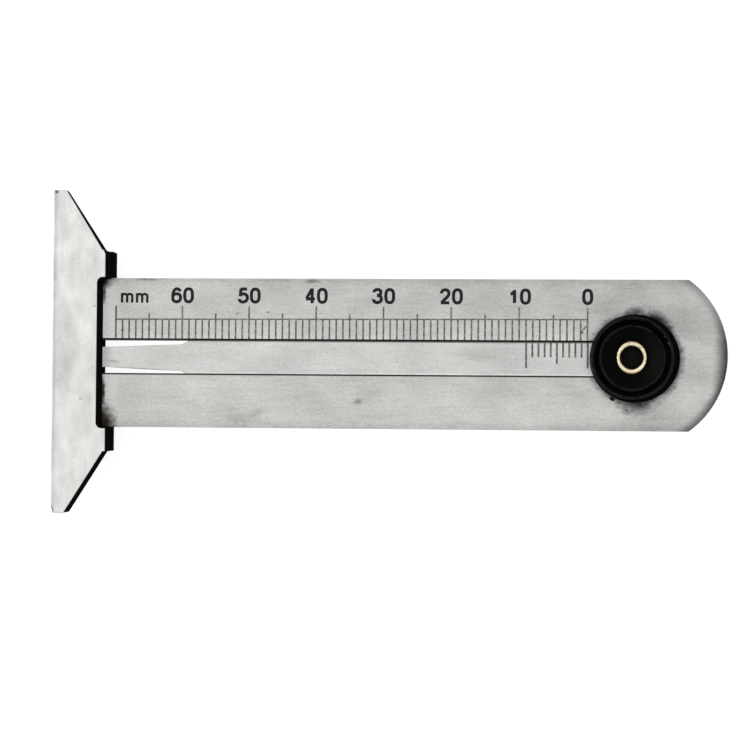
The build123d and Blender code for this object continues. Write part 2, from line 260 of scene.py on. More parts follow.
class Surface(Graph):
    """A material that is built on coordinates fixed to the gauge."""

    def __init__(self, name: str) -> None:
        """Starts an empty material.

        Args:
            name: The material's name.
        """
        self.material = bpy.data.materials.new(name)
        self.material.use_nodes = True
        super().__init__(self.material.node_tree)
        place = self.node("ShaderNodeTexCoord", output="Object")
        self.point = self.node("ShaderNodeVectorMath", {"operation": "SCALE"}, {0: place, "Scale": 1 / MM})
        self.x, self.y, self.z = self._parts(self.point)
        normal = self.node("ShaderNodeTexCoord", output="Normal")
        self.normal_x, _, self.normal_z = self._parts(normal)

    def _parts(self, vector: Value) -> tuple[Value, Value, Value]:
        """Splits a vector into its three values."""
        first = self.node("ShaderNodeSeparateXYZ", None, {0: vector})
        outputs = first.socket.node.outputs
        return first, Value(self, outputs[1]), Value(self, outputs[2])

    def radius(self, x: float, y: float, squeeze: float = 1.0) -> Value:
        """Returns the distance in millimetres from an axis along z, with y times squeeze."""
        across, up = self.x - x, (self.y - y) * squeeze
        return (across * across + up * up) ** 0.5

    def shade(self, color: Color, level: Value) -> Value:
        """Returns a colour times a level that varies between 0 and 2."""
        return self.mix(level * 0.5, BLACK, scaled(color, 2.0))

    def vary(self, color: Color, pattern: Value, low: float, high: float) -> Value:
        """Returns a colour times low where a pattern is 0 and times high where it is 1."""
        return self.mix(pattern, scaled(color, low), scaled(color, high))

    def stain(self, mark: Stain, wobble: Value) -> Value:
        """Returns how strongly a stain covers the surface.

        Args:
            mark: The stain.
            wobble: Noise round 0 that makes its edge uneven.

        Returns:
            The cover, from 0 to the stain's strength.
        """
        turn = math.radians(mark.turn)
        across, up = self.x - mark.x, self.y - mark.y
        along = across * (math.cos(turn) / mark.length) + up * (math.sin(turn) / mark.length)
        beside = up * (math.cos(turn) / mark.width) - across * (math.sin(turn) / mark.width)
        distance = (along * along + beside * beside) ** 0.5 + wobble * mark.ragged
        return distance.rise(1.0, mark.core) * mark.strength

    def cover(self, marks: Sequence[Stain], wobble: Value) -> Value:
        """Returns how strongly several stains cover the surface together.

        Args:
            marks: The stains.
            wobble: Noise round 0 that makes their edges uneven.

        Returns:
            The cover, from 0 to 1.
        """
        clear = 1 - self.stain(marks[0], wobble)
        for mark in marks[1:]:
            clear = clear * (1 - self.stain(mark, wobble))
        return 1 - clear

    def bump(self, height: Value, depth: float) -> Value:
        """Turns a pattern from 0 to 1 into the normal of a relief, whose depth is in millimetres."""
        return self.node("ShaderNodeBump", None, {"Height": height, "Distance": depth * MM, "Strength": 1.0})

    def finish(self, **sockets: object) -> bpy.types.Material:
        """Adds the shader and the output.

        Args:
            sockets: The shader's sockets by name, with _ for each space.

        Returns:
            The material.
        """
        named = {key.replace("_", " "): given for key, given in sockets.items()}
        shader = self.node("ShaderNodeBsdfPrincipled", None, named)
        self.node("ShaderNodeOutputMaterial", None, {"Surface": shader})
        return self.material


# ---- Finishes

class Finish:
    """How a surface looks."""

    def material(self) -> bpy.types.Material:
        """Builds the material.

        Returns:
            The finished material.
        """
        raise NotImplementedError


@dataclass(frozen=True)
class SatinSteel(Finish):
    """Stainless steel brushed lengthwise, with brown stains, black spots, and painted light and shade.

    Each place that is given, in millimetres, adds a feature: the mottle along the beam's long edges,
    the painted shade on the rim of the round end round end_axis, the smear and painted shade round
    knob_smear_and_shade, the darker steel beyond fall_from, painted light, as emission, on what lies
    beside the foot's wall at foot_side, painted shade and highlight on the slot's lips at slot_edge,
    and painted shade and highlight on the blade's bevels at bevel_edge.
    """

    name: str
    steel: Color
    stains: tuple[Stain, ...] = ()
    specks_and_knob_shade: tuple[Stain, ...] = ()
    stain_color: Color = (0.045, 0.027, 0.007)
    # It also colours the painted shade round the knob.
    speck_and_shade_color: Color = (0.007, 0.0065, 0.006)
    # Painted shade with some soil in the guide's gaps and on its ledge.
    grime_and_shade: Color = (0.045, 0.043, 0.040)
    ledge_dust_and_shade: Color = (0.105, 0.102, 0.095)
    streak: float = 0.26
    blotch: float = 0.44
    grain: float = 0.44
    roughness: float = 0.32
    edges: tuple[float, float] | None = None
    edge_width: float = 1.3
    edge_depth: float = 0.16
    end_axis: tuple[float, float] | None = None
    end_radius: float = 0.0
    knob_smear_and_shade: tuple[float, float] | None = None
    ring_inner: float = 6.2
    ring_outer: float = 7.55
    fall_from: float | None = None
    fall_length: float = 14.0
    foot_side: float | None = None
    # Emission painted as light on the steel beside the foot.
    foot_painted_light: float = 0.42
    slot_edge: float | None = None
    slot_stop: float = 88.0
    bevel_edge: float | None = None
    gap: tuple[float, float] = (2.36, 2.90)

    def material(self) -> bpy.types.Material:
        """Builds the material."""
        s = Surface(self.name)
        streaks = s.noise(s.point, (3.2, 0.35, 2.0), 3.0)
        fine = s.noise(s.point, (0.42, 0.26, 0.4), 2.0, 7.0)
        blotches = s.noise(s.point, (7.0, 4.6, 4.0), 2.0, 21.0)
        pits = s.noise(s.point, (0.55, 0.35, 0.5), 1.0, 43.0)
        wobble = s.noise(s.point, (0.9, 0.6, 0.6), 3.0, 5.0) - 0.5
        level = (1 + (streaks - 0.5) * self.streak + (blotches - 0.5) * self.blotch
                 + (fine - 0.5) * self.grain)
        level = level - pits.rise(0.66, 0.78) * 0.10
        if self.edges is not None:
            low, high = self.edges
            inside = (s.y - low).least(high - s.y) + wobble * 1.6
            level = level - inside.rise(self.edge_width, 0.0) * self.edge_depth
        if self.fall_from is not None:
            fall = s.x.rise(self.fall_from, self.fall_from + self.fall_length)
            level = level - fall * 0.085 + (blotches - 0.5) * fall * 0.30
            lower = s.y.rise(-2.0, -6.0) * s.x.rise(30.0, 50.0)
            level = level * (1 - s.y.rise(2.0, 9.0) * 0.06 + lower * 0.06)
        if self.end_axis is not None:
            # Painted shade: the rim of the round end is darkened for the dark that its rolled edge reflects.
            level = level * (1 - self._end_rim_painted_shade(s, self.end_axis, wobble))
        if self.knob_smear_and_shade is not None:
            # Smear and painted shade round the knob: partly a dirty smear, partly the knob's shadow and dark
            # reflection, painted on.
            smear = s.noise(s.point, (1.5, 1.0, 1.0), 3.0, 61.0) - 0.5
            ring = s.radius(*self.knob_smear_and_shade) + smear * 1.5 + wobble * 0.5
            level = level * (1 - ring.rise(self.ring_outer, self.ring_inner) * 0.80)
        if self.slot_edge is not None:
            # Painted shade and highlight along the slot's lips.
            level = level * self._slot_painted_shade_and_highlight(s, self.slot_edge)
        if self.bevel_edge is not None:
            # Painted shade and highlight on the blade's bevels.
            level = level * self._bevel_painted_shade_and_highlight(s, self.bevel_edge, streaks)
        color = s.shade(self.steel, level)
        dull = s.cover(self.stains, wobble)
        color = s.mix(dull, color, self.stain_color)
        if self.specks_and_knob_shade:
            black = s.cover(self.specks_and_knob_shade, wobble)
            color = s.mix(black, color, self.speck_and_shade_color)
            dull = dull.most(black)
        return self._close(s, color, streaks, fine, dull)

    def _end_rim_painted_shade(self, s: Surface, axis: tuple[float, float], wobble: Value) -> Value:
        """Returns the painted shade on the round end's rim: darkest and widest at the middle.

        Args:
            s: The surface.
            axis: The round end's axis.
            wobble: Noise round 0 that makes the rim uneven.

        Returns:
            The darkness, from 0 to 1.
        """
        reach = s.radius(*axis) - self.end_radius
        width = 1.6 + abs(s.y).rise(5.0, 1.0) * 0.8
        rim = ((reach + wobble * 0.4) / width).rise(-1.0, 0.0) * s.x.rise(axis[0], axis[0] + 1.0)
        return rim * (0.90 - s.y.rise(1.0, 9.0) * 0.52 - s.y.rise(-4.0, -10.0) * 0.20)

    def _slot_painted_shade_and_highlight(self, s: Surface, edge: float) -> Value:
        """Paints shade on the slot's lower lip and a highlight on its upper one.

        Args:
            s: The surface.
            edge: The slot's edge.

        Returns:
            The factor for the steel's level.
        """
        beside = abs(s.y).rise(edge - 0.1, edge) * s.x.rise(self.slot_stop, self.slot_stop - 1.0)
        lower = (0 - s.y).rise(edge + 0.14, edge + 0.02) * s.y.rise(0.0, -1.0) * beside
        upper = s.y.rise(edge + 0.95, edge + 0.3) * s.y.rise(0.0, 1.0) * beside
        return (1 - lower * 0.42) * (1 + upper * 0.11)

    @staticmethod
    def _bevel_painted_shade_and_highlight(s: Surface, edge: float, streaks: Value) -> Value:
        """Paints shade on the blade's upper bevel and a highlight on its lower one.

        Args:
            s: The surface.
            edge: The blade's edge.
            streaks: The brush lines, which show in the painted highlight.

        Returns:
            The factor for the steel's level.
        """
        upper = s.y.rise(edge - 0.26, edge - 0.02)
        lower = s.y.rise(0.28 - edge, 0.12 - edge)
        return (1 - upper * 0.8) * (1 + lower * (s.x.rise(20.0, 75.0) * 0.24 + 0.08) * streaks * 2)

    def _close(self, s: Surface, color: Value, streaks: Value, fine: Value,
               marked: Value) -> bpy.types.Material:
        """Adds the gaps' painted shade and soil, the brushed relief and the shader.

        Args:
            s: The surface.
            color: The steel's colour with its marks.
            streaks: The brush lines.
            fine: The fine grain.
            marked: How strongly stains, black spots and the knob's painted shade cover the steel.

        Returns:
            The finished material.
        """
        near, far = self.gap
        # Painted shade with some soil: the walls of the guide's gaps and the ledge under the face are
        # darkened, where shade falls.
        walls = abs(s.normal_z).rise(0.90, 0.78)
        in_gap = walls * abs(s.y).rise(near - 0.06, near) * abs(s.y).rise(far + 0.1, far)
        shelf = s.normal_z.rise(0.5, 0.8) * s.z.rise(0.3, 0.1)
        grime_and_shade = in_gap.most(shelf)
        color = s.mix(in_gap * 0.96, color, self.grime_and_shade)
        color = s.mix(shelf * 0.96, color, self.ledge_dust_and_shade)
        rough = self.roughness + (streaks - 0.5) * 0.16 + (fine - 0.5) * 0.08 + marked * 0.25
        dull = grime_and_shade.most(marked)
        sockets: dict[str, object] = {}
        # Painted light: the steel beside the foot's wall glows by emission, standing in for light that the
        # foot keeps off it.
        if self.foot_side is not None:
            corner = s.x.rise(self.foot_side + 4.9, self.foot_side - 0.2) ** 3.0
            corner = corner * s.x.rise(self.foot_side - 2.5, self.foot_side - 0.3)
            glow = corner * (1 - dull) ** 2.0 * s.normal_z.rise(0.5, 0.8) * (fine * 0.3 + 0.85)
            sockets = {"Emission_Color": s.mix(glow * self.foot_painted_light, BLACK, (1.0, 1.0, 0.98)),
                       "Emission_Strength": 1.0}
        normal = s.bump(streaks * 0.6 + fine * 0.4, 0.006)
        return s.finish(Base_Color=color, Metallic=0.95 - dull * 0.9, Specular_IOR_Level=0.0,
                        Roughness=rough + grime_and_shade * 0.3, Normal=normal, **sockets)


@dataclass(frozen=True)
class GroundFoot(Finish):
    """Steel ground bright on its front and measuring face; its walls' near black is painted shade."""

    steel: Color = (0.650, 0.643, 0.629)
    black: Color = (0.0054, 0.0053, 0.0049)
    roughness: float = 0.38

    def material(self) -> bpy.types.Material:
        """Builds the material."""
        s = Surface("ground_foot")
        scratches = s.noise(s.point, (0.16, 6.0, 1.0), 3.0)
        clouds = s.noise(s.point, (1.8, 3.2, 2.0), 3.0, 11.0)
        fine = s.noise(s.point, (0.30, 0.45, 0.4), 2.0, 31.0)
        wear = s.noise(s.point, (0.5, 0.8, 0.5), 3.0, 3.0) - 0.5
        level = 1 + (scratches - 0.5) * 0.16 + (clouds - 0.5) * 0.62 + (fine - 0.5) * 0.20
        level = level + s.y.rise(-8.0, -20.0) * 0.05
        # Painted shade along the rounded measuring edge of the front face.
        level = level - (s.x + wear * 0.3).rise(0.90, 0.10) * s.normal_z.rise(0.3, 0.8) * 0.23
        marks = (Stain(6.2, 7.3, 0.35, 0.2, 0.3), Stain(4.3, -6.4, 0.4, 0.25, 0.3),
                 Stain(0.42, 24.1, 0.4, 0.3, 0.75), Stain(0.27, -22.55, 0.9, 0.16, 0.7, -70.0),
                 Stain(2.5, -5.2, 0.5, 0.3, 0.12), Stain(1.8, 0.0, 2.8, 9.0, 0.14, 0.0, 0.1))
        for mark in marks:
            level = level * (1 - s.stain(mark, wear))
        # Painted shade: all faces but the front and the measuring face take the near-black colour, for the
        # dark that the walls reflect.
        bright = s.normal_z + wear * 0.10
        bright = bright.rise(0.62, 0.80).most((0 - s.normal_x + wear * 0.10).rise(0.62, 0.80))
        color = s.mix(bright, s.vary(self.black, fine, 0.7, 1.5), s.shade(self.steel, level))
        rough = self.roughness + (scratches - 0.5) * 0.14 + (1 - bright) * 0.5
        normal = s.bump(scratches * 0.5 + fine * 0.5, 0.005)
        return s.finish(Base_Color=color, Metallic=bright * 0.95, Roughness=rough, Normal=normal,
                        Specular_IOR_Level=0.0)


@dataclass(frozen=True)
class BlackOxide(Finish):
    """Blackened steel, matte."""

    black: Color = (0.0054, 0.0053, 0.0049)

    def material(self) -> bpy.types.Material:
        """Builds the material."""
        s = Surface("black_oxide")
        clouds = s.noise(s.point, (1.6, 2.4, 1.6), 3.0, 2.0)
        fine = s.noise(s.point, (0.25, 0.25, 0.25), 2.0, 9.0)
        color = s.vary(self.black, clouds * 0.6 + fine * 0.4, 0.5, 1.8)
        return s.finish(Base_Color=color, Roughness=0.85 + (fine - 0.5) * 0.2,
                        Normal=s.bump(fine, 0.01), Specular_IOR_Level=0.0)


class Lay(Enum):
    """The way a cut surface's fine lines run."""

    ROUND = "round"
    ALONG = "along"


@dataclass(frozen=True)
class CutSteel(Finish):
    """Small steel parts with the fine lines of the tool that cut or rolled them."""

    name: str
    steel: Color
    lay: Lay
    axes: tuple[tuple[float, float], ...] = ()
    roughness: float = 0.34

    def material(self) -> bpy.types.Material:
        """Builds the material."""
        s = Surface(self.name)
        clouds = s.noise(s.point, (1.2, 1.2, 0.8), 3.0, 4.0)
        if self.lay is Lay.ROUND:
            reach = s.radius(*self.axes[0])
            for axis in self.axes[1:]:
                reach = reach.least(s.radius(*axis))
            rings = s.node("ShaderNodeCombineXYZ", None, {0: reach, 2: s.z})
            lines = s.noise(rings, (0.09, 1.0, 0.12), 2.0)
        else:
            lines = s.noise(s.point, (0.10, 5.0, 0.6), 3.0)
        level = 1 + (lines - 0.5) * 0.35 + (clouds - 0.5) * 0.35
        color = s.shade(self.steel, level)
        rough = self.roughness + (clouds - 0.5) * 0.25 + (lines - 0.5) * 0.1
        return s.finish(Base_Color=color, Metallic=0.97, Roughness=rough, Normal=s.bump(lines, 0.008))


@dataclass(frozen=True)
class EngravingPaint(Finish):
    """Black paint rubbed into engraved marks."""

    name: str
    paint: Color
    worn: Color

    def material(self) -> bpy.types.Material:
        """Builds the material."""
        s = Surface(self.name)
        wear = s.noise(s.point, (0.5, 0.7, 0.5), 3.0, 13.0)
        color = s.mix(wear.rise(0.38, 0.70), self.paint, self.worn)
        return s.finish(Base_Color=color, Roughness=0.55 + (wear - 0.5) * 0.3,
                        Normal=s.bump(wear, 0.01), Specular_IOR_Level=0.2)


@dataclass(frozen=True)
class KnobPlastic(Finish):
    """Moulded black plastic, with painted highlights on its crests and its slopes, and two painted
    glints placed from its axis.
    """

    axis: tuple[float, float]
    crests: tuple[float, ...]
    black: Color = (0.0010, 0.0010, 0.0010)
    # Also the painted highlight on the crests.
    worn: Color = (0.0165, 0.0165, 0.0160)
    painted_slope_light: Color = (0.0040, 0.0040, 0.0038)
    painted_glint: Color = (0.11, 0.11, 0.105)
    painted_glints: tuple[Stain, ...] = (Stain(5.2, 2.15, 0.30, 0.12, 0.8, -65.0),
                                 Stain(4.6, 3.1, 0.2, 0.1, 0.5, -50.0))

    def material(self) -> bpy.types.Material:
        """Builds the material."""
        s = Surface("knob_plastic")
        reach = s.radius(*self.axis)
        rings = s.node("ShaderNodeCombineXYZ", None, {0: reach, 2: s.z})
        lines = s.noise(rings, (0.16, 1.0, 0.2), 2.0)
        clouds = s.noise(s.point, (1.1, 1.1, 0.8), 3.0, 17.0)
        color = s.vary(self.black, clouds, 0.6, 1.6)
        # Painted highlights: the crests are lightened where light would catch them.
        for crest in self.crests:
            color = s.mix(abs(reach - crest).rise(0.24, 0.04) * clouds.rise(0.25, 0.60), color, self.worn)
        # Painted light: the dish's slopes that face left are lightened, as if lit from the left.
        slope = (0 - s.normal_x).rise(0.10, 0.55) * reach.rise(self.crests[-1], self.crests[-1] - 0.3)
        color = s.mix(slope, color, self.painted_slope_light)
        x, y = self.axis
        # Painted glints: two small bright flecks on the rim, placed from the knob's axis.
        for mark in self.painted_glints:
            placed = replace(mark, x=x + mark.x, y=y + mark.y)
            color = s.mix(s.stain(placed, clouds - 0.5), color, self.painted_glint)
        rough = 0.40 + (clouds - 0.5) * 0.22 + (lines - 0.5) * 0.08
        return s.finish(Base_Color=color, Roughness=rough, Normal=s.bump(lines * 0.4 + clouds * 0.6, 0.012),
                        Specular_IOR_Level=0.03)


@dataclass(frozen=True)
class RolledBrass(Finish):
    """Brass rolled over by hand: a bright uneven lip, tarnished patches and painted shade on its
    flanks, and a bore darkened by soil and painted shade.
    """

    axis: tuple[float, float]
    bore: float
    squeeze: float
    crest: float = 2.03
    brass: Color = (0.83, 0.74, 0.54)
    tarnish_and_flank_shade: Color = (0.27, 0.155, 0.05)
    bore_dirt_and_shade: Color = (0.0028, 0.0028, 0.0022)

    def material(self) -> bpy.types.Material:
        """Builds the material."""
        s = Surface("rolled_brass")
        reach = s.radius(*self.axis, self.squeeze)
        uneven = s.noise(s.point, (0.7, 0.7, 0.5), 3.0, 8.0)
        fine = s.noise(s.point, (0.12, 0.12, 0.12), 2.0, 19.0)
        # Tarnished patches, and painted shade on the lip's flanks on both sides of its crest.
        worn = abs(reach - self.crest).rise(0.10, 0.36).most(uneven.rise(0.50, 0.72))
        color = s.mix(worn * 0.85, self.brass, self.tarnish_and_flank_shade)
        # Soil and painted shade in the bore.
        bore = (reach + (uneven - 0.5) * 0.2).rise(self.bore + 0.06, self.bore - 0.06)
        color = s.mix(bore, color, self.bore_dirt_and_shade)
        rough = 0.24 + (uneven - 0.5) * 0.2 + bore * 0.4
        return s.finish(Base_Color=color, Metallic=1 - bore, Roughness=rough,
                        Normal=s.bump(uneven * 0.7 + fine * 0.3, 0.05), Specular_IOR_Level=0.1)


# ---- Shaping new pieces

class Part(Enum):
    """What an edit works on."""

    EDGES = "EDGE"
    FACES = "FACE"


@dataclass(frozen=True)
class Ring:
    """One ring of a turned piece, in millimetres, whose centre may lie off the axis."""

    radius: float
    height: float
    right: float = 0.0
    up: float = 0.0


class Bench:
    """Shapes one piece in millimetres with Blender's modelling tools."""

    def __init__(self, name: str) -> None:
        """Starts with an empty bench for a piece of this name."""
        self.name = name
        bpy.ops.object.select_all(action="DESELECT")

    @property
    def piece(self) -> bpy.types.Object:
        """The object on the bench."""
        return bpy.context.view_layer.objects.active

    @contextmanager
    def editing(self) -> Iterator[None]:
        """Opens edit mode for a while."""
        bpy.ops.object.mode_set(mode="EDIT")
        yield
        bpy.ops.object.mode_set(mode="OBJECT")

    def select(self, part: Part, test: Callable[[Vector], bool]) -> None:
        """Selects the edges or faces whose every corner passes a test.

        Args:
            part: What to select.
            test: Takes a corner's place and says whether it belongs.
        """
        bpy.ops.mesh.select_mode(type=part.value)
        mesh = bmesh.from_edit_mesh(self.piece.data)
        elements = mesh.faces if part is Part.FACES else mesh.edges
        for element in elements:
            element.select_set(False)
        for element in elements:
            if all(test(self._place(corner)) for corner in element.verts):
                element.select_set(True)
        mesh.select_flush_mode()
        bmesh.update_edit_mesh(self.piece.data)

    def keep_along(self, axis: Vector) -> None:
        """Deselects the edges that don't run along an axis.

        Args:
            axis: The axis.
        """
        mesh = bmesh.from_edit_mesh(self.piece.data)
        for edge in mesh.edges:
            first, second = (self._place(corner) for corner in edge.verts)
            if edge.select and abs((first - second).normalized().dot(axis)) < 0.9:
                edge.select_set(False)
        mesh.select_flush_mode()
        bmesh.update_edit_mesh(self.piece.data)

    def lowest(self, test: Callable[[Vector], bool]) -> float:
        """Returns the least z of the corners that pass a test, in edit mode."""
        places = (self._place(corner) for corner in bmesh.from_edit_mesh(self.piece.data).verts)
        return min(place.z for place in places if test(place))

    def _place(self, corner: bmesh.types.BMVert) -> Vector:
        """Returns a corner's place on the bench."""
        return self.piece.matrix_world @ corner.co

    def turn(self, axis: tuple[float, float], rings: Sequence[Ring], sides: int, open_bore: bool) -> None:
        """Turns a piece from rings, each drawn out of the one before.

        Args:
            axis: The axis's x and y.
            rings: The rings in order.
            sides: The number of sides of each ring.
            open_bore: True for a piece with a hole, whose last ring meets its first, and False
                for a piece with a cap at each end.
        """
        x, y = axis
        first = rings[0]
        fill = "NOTHING" if open_bore else "NGON"
        bpy.ops.mesh.primitive_circle_add(vertices=sides, radius=first.radius, fill_type=fill,
                                          location=(x + first.right, y + first.up, first.height))
        self.piece.name = self.name
        with self.editing():
            bpy.ops.mesh.select_all(action="SELECT")
            for before, after in pairwise(rings):
                step = (after.right - before.right, after.up - before.up, after.height - before.height)
                bpy.ops.mesh.extrude_region_move(TRANSFORM_OT_translate={"value": step})
                ratio = after.radius / before.radius
                middle = (x + after.right, y + after.up, after.height)
                bpy.ops.transform.resize(value=(ratio, ratio, 1.0), center_override=middle)
            bpy.ops.mesh.select_all(action="SELECT")
            bpy.ops.mesh.remove_doubles(threshold=0.0005)
            bpy.ops.mesh.normals_make_consistent(inside=False)

    def block(self, low: Vector, high: Vector) -> None:
        """Starts from a block.

        Args:
            low: Its lowest corner.
            high: Its highest corner.
        """
        bpy.ops.mesh.primitive_cube_add(size=1.0, location=(low + high) / 2, scale=high - low)
        self.piece.name = self.name
        bpy.ops.object.transform_apply(location=False, rotation=False, scale=True)

    def round_rings(self, axis: tuple[float, float], rounds: Sequence[tuple[Ring, float]]) -> None:
        """Rounds the edges that lie on some rings.

        Args:
            axis: The axis's x and y.
            rounds: Each ring and its rounding, in millimetres.
        """
        with self.editing():
            for ring, rounding in rounds:
                middle = Vector((axis[0] + ring.right, axis[1] + ring.up, ring.height))

                def on_ring(place: Vector, middle: Vector = middle, radius: float = ring.radius) -> bool:
                    """Says whether a corner lies on the ring."""
                    flat = place - middle
                    return abs(flat.z) < NEAR and abs(flat.xy.length - radius) < NEAR

                self.select(Part.EDGES, on_ring)
                bpy.ops.mesh.bevel(offset=rounding, segments=4, profile=0.5)

    def break_edges(self, width: float, segments: int = 2, angle: float = 30.0) -> None:
        """Breaks every sharp edge.

        Args:
            width: The width of the break, in millimetres.
            segments: How many strips round it.
            angle: The least angle of an edge that counts as sharp, in degrees.
        """
        modifier = self.piece.modifiers.new("break", "BEVEL")
        modifier.width = width
        modifier.segments = segments
        modifier.limit_method = "ANGLE"
        modifier.angle_limit = math.radians(angle)
        bpy.ops.object.modifier_apply(modifier=modifier.name)

    def cut(self, low: Vector, high: Vector) -> None:
        """Cuts a block out of the piece.

        Args:
            low: The block's lowest corner.
            high: The block's highest corner.
        """
        piece = self.piece
        bpy.ops.object.select_all(action="DESELECT")
        bpy.ops.mesh.primitive_cube_add(size=1.0, location=(low + high) / 2, scale=high - low)
        cutter = bpy.context.view_layer.objects.active
        bpy.context.view_layer.objects.active = piece
        modifier = piece.modifiers.new("cut", "BOOLEAN")
        modifier.operation = "DIFFERENCE"
        modifier.object = cutter
        bpy.ops.object.modifier_apply(modifier=modifier.name)
        bpy.data.objects.remove(cutter)
        piece.select_set(True)

    def done(self, material: bpy.types.Material, body: str, node: str) -> None:
        """Brings the piece to metres and hands it over.

        Args:
            material: The piece's finish.
            body: The body it rides on.
            node: The CAD node that it stands for.
        """
        piece = self.piece
        bpy.ops.object.select_all(action="DESELECT")
        piece.select_set(True)
        bpy.ops.object.transform_apply(location=True, rotation=True, scale=True)
        piece.scale = (MM, MM, MM)
        bpy.ops.object.transform_apply(location=True, rotation=True, scale=True)
        bpy.ops.object.shade_smooth_by_angle(angle=math.radians(35))
        piece.data.materials.clear()
        piece.data.materials.append(material)
        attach(piece, body)
        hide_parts(node)
        log.info("%s: %d faces, stands for %s", piece.name, len(piece.data.polygons), node)


def dress(node: str, finish: Finish) -> None:
    """Gives a CAD node its finish.

    Args:
        node: The node's name.
        finish: The finish.
    """
    material = finish.material()
    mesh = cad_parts[node].data
    mesh.materials.clear()
    mesh.materials.append(material)
    log.info("%s: %s", node, material.name)


def axis_of(node: str) -> tuple[float, float]:
    """Returns the x and y of the middle of a CAD node, in millimetres."""
    low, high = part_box(node)
    return (low.x + high.x) / 2 / MM, (low.y + high.y) / 2 / MM


def heights_of(node: str) -> tuple[float, float]:
    """Returns a CAD node's lowest and highest z, in millimetres."""
    low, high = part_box(node)
    return low.z / MM, high.z / MM


# ---- Sub-assemblies

@dataclass
class Rule:
    """The beam with its engraved scale."""

    end_radius: float = 13.75
    # How far right of the rivet the knob's smear and painted shade lie.
    smear_and_shade_right: float = 0.5

    def build(self) -> None:
        """Dresses the beam and its marks."""
        low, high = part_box("beam_plate")
        edges = (low.y / MM, high.y / MM)
        stains = (
            # The first four lie beside the foot's wall: brown stains with painted shade and reflection of
            # the wall.
            Stain(6.70, -5.2, 0.50, 3.2, 0.92, 0.0, 0.1, 0.8),
            Stain(6.2, -10.3, 3.3, 4.6, 0.96, 0.0, 0.25, 0.5),
            Stain(6.3, 11.9, 2.3, 2.4, 0.98, 0.0, 0.30, 0.4),
            Stain(6.75, 9.6, 0.40, 2.3, 0.75, 0.0, 0.1, 0.8),
            Stain(44.96, -6.4, 1.0, 0.75, 0.42, 30.0, 0.0, 1.1),
            Stain(46.5, -5.2, 3.2, 2.2, 0.13, 15.0, 0.1, 0.9),
            Stain(29.9, -8.2, 1.7, 0.8, 0.20, 25.0, 0.1, 0.9),
            Stain(27.6, -9.2, 3.4, 1.1, 0.15, 0.0, 0.1, 0.9),
            Stain(37.8, 11.3, 1.8, 0.45, 0.45, 0.0, 0.1, 1.0),
            Stain(13.1, 11.5, 2.6, 0.3, 0.40, 0.0, 0.1, 1.0),
            Stain(26.9, 6.5, 0.55, 0.3, 0.30, 0.0, 0.1, 0.8),
        )
        specks_and_knob_shade = (
            Stain(31.4, 6.7, 0.2, 0.16, 0.75, 0.0, 0.4, 0.3),
            Stain(9.56, 3.9, 0.42, 0.12, 0.65, 0.0, 0.4, 0.3),
            Stain(78.24, 4.67, 1.10, 0.12, 0.80, 52.0, 0.3, 0.4),
            Stain(77.66, 3.90, 0.34, 0.26, 0.85, 0.0, 0.4, 0.5),
            Stain(82.19, -5.80, 0.52, 0.32, 0.98, -25.0, 0.6, 0.4),
            Stain(84.35, -7.40, 0.35, 0.25, 0.60, 0.0, 0.3, 0.4),
            # The last three are the knob's smear with its painted shade round it.
            Stain(88.8, 5.5, 3.3, 2.0, 0.82, -40.0, 0.1, 0.9),
            Stain(85.5, 7.1, 1.9, 1.0, 0.55, 0.0, 0.1, 0.9),
            Stain(85.8, -6.9, 3.6, 1.8, 0.50, 8.0, 0.1, 1.0),
        )
        x, y = axis_of("rivet_washer")
        dress("beam_plate", SatinSteel(
            "beam_steel", (0.527, 0.523, 0.509), stains, specks_and_knob_shade, edges=edges,
            end_axis=(high.x / MM - self.end_radius, sum(edges) / 2), end_radius=self.end_radius,
            knob_smear_and_shade=(x + self.smear_and_shade_right, y), fall_from=72.0, foot_side=FOOT_SIDE, slot_edge=2.65))
        dress("scale_ticks", EngravingPaint("scale_paint", (0.135, 0.136, 0.126), (0.33, 0.33, 0.32)))
        dress("scale_figures",
              EngravingPaint("figure_paint", (0.005, 0.005, 0.0045), (0.016, 0.016, 0.015)))


